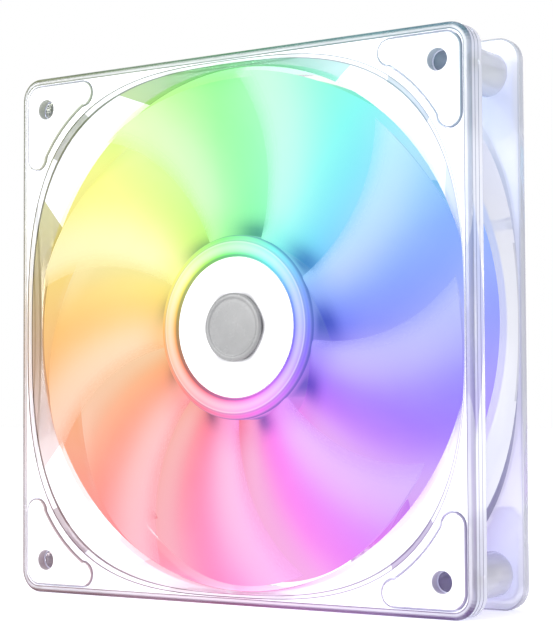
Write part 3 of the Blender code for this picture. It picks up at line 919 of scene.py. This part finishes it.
def blade_tones(span, chord):
    """How much painted light, painted shade and painted shadow the glow gets at a place on a blade, and how
    thin and clear the plastic.

    Painted light lies just behind the front edge and painted shade on the steep middle, and the shade is
    also deeper near the root. Both repeat from blade to blade, so that a blade's edge melts into the blade
    behind it. The painted shadow lies in the pocket beside the hub.
    """
    past_edge = degrees(blade_wrap(span)) * chord
    wave = 0.5 + 0.5 * cos(radians((past_edge - CLEAR_EDGE) * BLADES))
    painted_light = 0.22 * wave**1.5 * smooth(span * 3 + 0.2)
    deep_shade = 0.34 * (1 - wave) ** 1.5 + 0.25 * bell(span, 0, 0.2)
    shade = bell(span, 0.02, 0.075) * bell(past_edge, 27, 10)
    thin = 1 - smooth(past_edge / CLEAR_EDGE + 0.1) * smooth((1 - chord) * 14 + 0.1)
    return painted_light, deep_shade, shade, 0.75 * thin * smooth(span * 12)


def chord_at(step):
    """Places along a blade's chord, which lie closer together towards its edges."""
    if step in (0, CHORD_STEPS):
        return step / CHORD_STEPS
    return 0.5 - 0.5 * cos(pi * lerp(0.04, 0.96, step / CHORD_STEPS))


def blade_normal(span, chord):
    step = 0.004
    along = blade_point(span, chord + step) - blade_point(span, chord - step)
    outwards = blade_point(span + step, chord) - blade_point(span - step, chord)
    return along.cross(outwards).normalized()


def blade_thickness(span, chord):
    """Thin at both edges, and a little thicker where the blade grows out of the hub."""
    edge = sqrt(max(1 - abs(2 * chord - 1) ** 8, 0))
    return (0.75 + 0.95 * sin(pi * chord) + 0.9 * bell(span, 0, 0.05)) * MM * max(edge, 0.12)


def add_blade(builder, index, layers):
    root = (BLADE_ROOT - HUB_RADIUS) / (BLADE_TIP - HUB_RADIUS)
    rings = []
    turn = index * tau / BLADES
    for i in range(SPAN_STEPS + 1):
        span = lerp(root, 1, i / SPAN_STEPS)
        front_side, back_side = [], []
        for j in range(CHORD_STEPS + 1):
            chord = chord_at(j)
            middle = blade_point(span, chord)
            normal = blade_normal(span, chord)
            thick = blade_thickness(span, chord)
            for side, sign in ((front_side, 1), (back_side, -1)):
                spot = middle + normal * sign * thick / 2
                x, z = turned_point((spot.x, spot.z), turn)
                vertex = builder.verts.new((x, spot.y, z))
                for layer, tone in zip(layers, blade_tones(span, chord)):
                    vertex[layer] = tone
                side.append(vertex)
        rings.append(front_side + back_side[::-1])
    add_skin(builder, rings, closed=False)


def hub_tones(radius, depth, angle):
    """Painted light and shade on the hub's ring, and a painted shadow in each gap between two blades."""
    # Painted shade on the slope beside the disc and the outer slope, painted light on the flat band with a
    # thin highlight at its edge, and painted dark lines at the edges.
    rim = radius / MM
    painted_light = 0.3 * bell(rim, 17.5, 0.8) + 0.4 * bell(rim, 18.65, 0.12) if depth < 4 * MM else 0.0
    deep_shade = 0.8 * bell(rim, 16, 0.4) + 0.7 * bell(rim, 19.5, 0.45)
    shade = 0.8 * bell(rim, 15.75, 0.2) + 0.35 * bell(rim, 18.95, 0.15) + 0.9 * bell(rim, 20.15, 0.22)
    if rim > 20.1 and depth > 3.4 * MM:
        past_edge = (degrees(angle) - LEAD) % (360 / BLADES)
        shade = 0.3 + 0.7 * bell(past_edge, 10, 9) * smooth((depth / MM - 3) / 3)
    return painted_light, deep_shade, min(shade, 1), 0


def make_rotor(material):
    builder = bmesh.new()
    layers = [builder.verts.layers.float.new(name) for name in ("painted_light", "deep_shade", "shade", "thin")]
    profile = [
        (3.9 * MM, 3.3 * MM),
        (15.7 * MM, 3.3 * MM),
        (15.7 * MM, 2.5 * MM),
        (16.2 * MM, 2.2 * MM),
        (18.7 * MM, 2.2 * MM),
        (18.9 * MM, 2.4 * MM),
        (19.8 * MM, 2.55 * MM),
        (20.2 * MM, 3.1 * MM),
        (20.2 * MM, 18.4 * MM),
        (18.8 * MM, 18.4 * MM),
        (18.8 * MM, 4.3 * MM),
        (3.9 * MM, 4.3 * MM),
    ]
    add_turned(builder, finer(softened(profile, 0.3 * MM, 5), 0.2 * MM, 15 * MM), 180)
    for vertex in builder.verts:
        angle = atan2(vertex.co.z, vertex.co.x)
        tones = hub_tones(hypot(vertex.co.x, vertex.co.z), vertex.co.y + DEPTH / 2, angle)
        for layer, tone in zip(layers, tones):
            vertex[layer] = tone
    for index in range(BLADES):
        add_blade(builder, index, layers)
    rotor = made("rotor_moulding", builder, 40)
    place(rotor, ROTOR, "frosted_plastic", material, "impeller")


def hub_white():
    """White, with painted soft grey shadows, as of a six-lobed clip under the cap's edge."""
    nodes = Nodes("hub_white")
    x, _, z = nodes.split(nodes.add("ShaderNodeTexCoord").outputs["Object"])
    radius = nodes.radius(x, z)
    lobes = nodes.math("COSINE", nodes.math("MULTIPLY", nodes.math("ARCTAN2", z, x), 6.0))
    reach = nodes.math("MULTIPLY_ADD", lobes, 0.55 * MM, 8.9 * MM)
    painted_lobe_shadow = nodes.math("MULTIPLY", nodes.math("SUBTRACT", reach, radius), 0.55 / (1.2 * MM), clamp=True)
    tint = nodes.mix(nodes.noise(180), linear((248, 248, 249)), linear((254, 254, 254)))
    nodes.set(Base_Color=nodes.mix(painted_lobe_shadow, tint, linear((128, 128, 130))))
    nodes.set(Roughness=nodes.spread(nodes.noise(420), 0.3, 0.4))
    return nodes.material


def make_hub_trim(white, badge):
    disc = [(0, 2.7 * MM), (15.1 * MM, 2.7 * MM), (15.4 * MM, 2.8 * MM), (15.4 * MM, 3 * MM), (0, 3 * MM)]
    place(turned("hub_face", softened(disc, 0.1 * MM), 128), ROTOR, "white_plastic", white, "hub_disc")
    cap = [
        (0, 1.8 * MM),
        (5.4 * MM, 1.85 * MM),
        (6.2 * MM, 1.9 * MM),
        (6.5 * MM, 1.7 * MM),
        (7.0 * MM, 1.7 * MM),
        (7.5 * MM, 2.0 * MM),
        (7.5 * MM, 2.4 * MM),
        (0, 2.4 * MM),
    ]
    place(turned("hub_cap", softened(cap, 0.2 * MM)), ROTOR, "badge_metal", badge, "hub_badge")


def make_label(material):
    front, rear = 24.35 * MM, 24.6 * MM
    label = softened([(0, front), (LABEL_RADIUS, front), (LABEL_RADIUS, rear), (0, rear)], 0.08 * MM)
    place(turned("rear_label_film", label), FIXED, "label_film", material, "rear_label")


# ---------------------------------------------------------------- inner pieces keep their CAD shapes


def dress_inner_pieces(white, lamp):
    steel = metal("steel", (150, 152, 156), (196, 198, 202))
    turned_steel = metal("turned_steel", (150, 152, 156), (205, 206, 210), rings=0.5 * MM)
    finishes = {
        "rotor_yoke": turned_steel,
        "magnet_ring": moulded("magnet", (38, 38, 42), (58, 57, 60), (0.55, 0.7)),
        "shaft_boss": metal("brass", (190, 152, 84), (222, 188, 120), rings=0.4 * MM),
        "shaft": steel,
        "retaining_clip": steel,
        "bearing_sleeve": metal("bronze", (120, 90, 60), (160, 122, 84), (0.5, 0.65)),
        "oil_seal": moulded("seal_rubber", (18, 18, 18), (34, 34, 34), (0.6, 0.75)),
        "bearing_cap": white,
        "stator_core": steel,
        "insulator_front": white,
        "insulator_rear": white,
        "motor_board": moulded("board", (214, 216, 212), (232, 234, 228), (0.4, 0.5)),
        "driver_chip": moulded("chip", (20, 20, 22), (38, 38, 42), (0.4, 0.55)),
    }
    finishes["hall_sensor"] = finishes["driver_chip"]
    finishes["bearing_tube"] = finishes["shaft_boss"]
    copper = metal("copper", (170, 90, 52), (214, 130, 84), (0.3, 0.45))
    for index in range(1, 5):
        finishes[f"coil_{index}"] = copper
    for index in range(1, 9):
        finishes[f"led_{index}"] = lamp
    for name, finish in finishes.items():
        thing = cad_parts[name]
        thing.data.materials.clear()
        thing.data.materials.append(finish)


# ---------------------------------------------------------------- stage


def make_stage():
    builder = bmesh.new()
    bmesh.ops.create_grid(builder, x_segments=8, y_segments=8, size=3)
    floor = made("floor", builder)
    floor.location = (0, 0, cad_box[0].z - 0.02 * MM)
    nodes = Nodes("floor")
    tint = nodes.mix(nodes.noise(3), (0.9, 0.9, 0.9, 1), (0.93, 0.93, 0.93, 1))
    nodes.set(Base_Color=tint, Roughness=0.7)
    nodes.set(Emission_Color=(1, 1, 1, 1), Emission_Strength=0.5)
    floor.data.materials.append(nodes.material)


def make_world():
    """White to the front and back, and greyer to the sides, above and below, which draws the clear edges."""
    world = bpy.data.worlds.new("studio")
    bpy.context.scene.world = world
    world.use_nodes = True
    tree = world.node_tree
    background = tree.nodes["Background"]
    spot = tree.nodes.new("ShaderNodeTexCoord")
    parts = tree.nodes.new("ShaderNodeSeparateXYZ")
    tree.links.new(spot.outputs["Generated"], parts.inputs[0])
    along = tree.nodes.new("ShaderNodeMath")
    along.operation = "ABSOLUTE"
    tree.links.new(parts.outputs["Y"], along.inputs[0])
    ramp = tree.nodes.new("ShaderNodeValToRGB")
    ramp.color_ramp.elements[0].position = 0.2
    ramp.color_ramp.elements[0].color = (0.34, 0.35, 0.39, 1)
    ramp.color_ramp.elements[1].position = 0.75
    ramp.color_ramp.elements[1].color = (0.88, 0.88, 0.94, 1)
    tree.links.new(along.outputs[0], ramp.inputs[0])
    path = tree.nodes.new("ShaderNodeLightPath")
    mix = tree.nodes.new("ShaderNodeMix")
    mix.data_type = "RGBA"
    tree.links.new(path.outputs["Is Camera Ray"], mix.inputs[0])
    tree.links.new(ramp.outputs[0], mix.inputs[6])
    mix.inputs[7].default_value = (1, 1, 1, 1)
    tree.links.new(mix.outputs[2], background.inputs["Color"])
    background.inputs["Strength"].default_value = 1.0


def make_light(name, location, size, power):
    """A square lamp that faces the fan."""
    data = bpy.data.lights.new(name, "AREA")
    data.size = size
    data.energy = power
    light = bpy.data.objects.new(name, data)
    light.location = location
    light.rotation_mode = "QUATERNION"
    light.rotation_quaternion = (-Vector(location)).to_track_quat("-Z", "Y")
    bpy.context.scene.collection.objects.link(light)


def make_camera():
    """The photograph's view: from the right and slightly below the fan's middle."""
    yaw, pitch, roll = radians(34.63), radians(-2.808), radians(-0.293)
    aim, distance = Vector((4.313, 0, 1.793)), 403.09  # in millimetres
    back = Vector((sin(yaw) * cos(pitch), -cos(yaw) * cos(pitch), sin(pitch)))
    right = (-back).cross(Vector((0, 0, 1))).normalized()
    up = right.cross(-back)
    right, up = right * cos(roll) + up * sin(roll), up * cos(roll) - right * sin(roll)
    data = bpy.data.cameras.new("camera")
    data.lens = 102.6
    data.sensor_width = 36
    data.clip_start = 0.01
    data.clip_end = 50
    camera = bpy.data.objects.new("camera", data)
    axes = Matrix((right, up, back)).transposed()
    camera.matrix_world = Matrix.Translation(aim * MM + back * distance * MM) @ axes.to_4x4()
    bpy.context.scene.collection.objects.link(camera)
    bpy.context.scene.camera = camera


def main():
    white = moulded("white_plastic", (244, 244, 246), (253, 253, 253))
    badge = moulded("badge_grey", (122, 123, 122), (140, 140, 139), (0.22, 0.32))
    make_frame(clear_plastic(), lit_plastic())
    make_pads(soft_pad())
    make_rotor(frosted_plastic())
    make_hub_trim(hub_white(), badge)
    make_label(label_film())
    dress_inner_pieces(white, lamp_face())
    make_stage()
    make_world()
    make_light("key", (-0.5, -1.1, 0.5), 0.9, 16)
    make_light("top", (0, 0.1, 1.2), 1.2, 3)
    make_camera()
    bpy.context.scene.view_settings.view_transform = "Standard"


main()
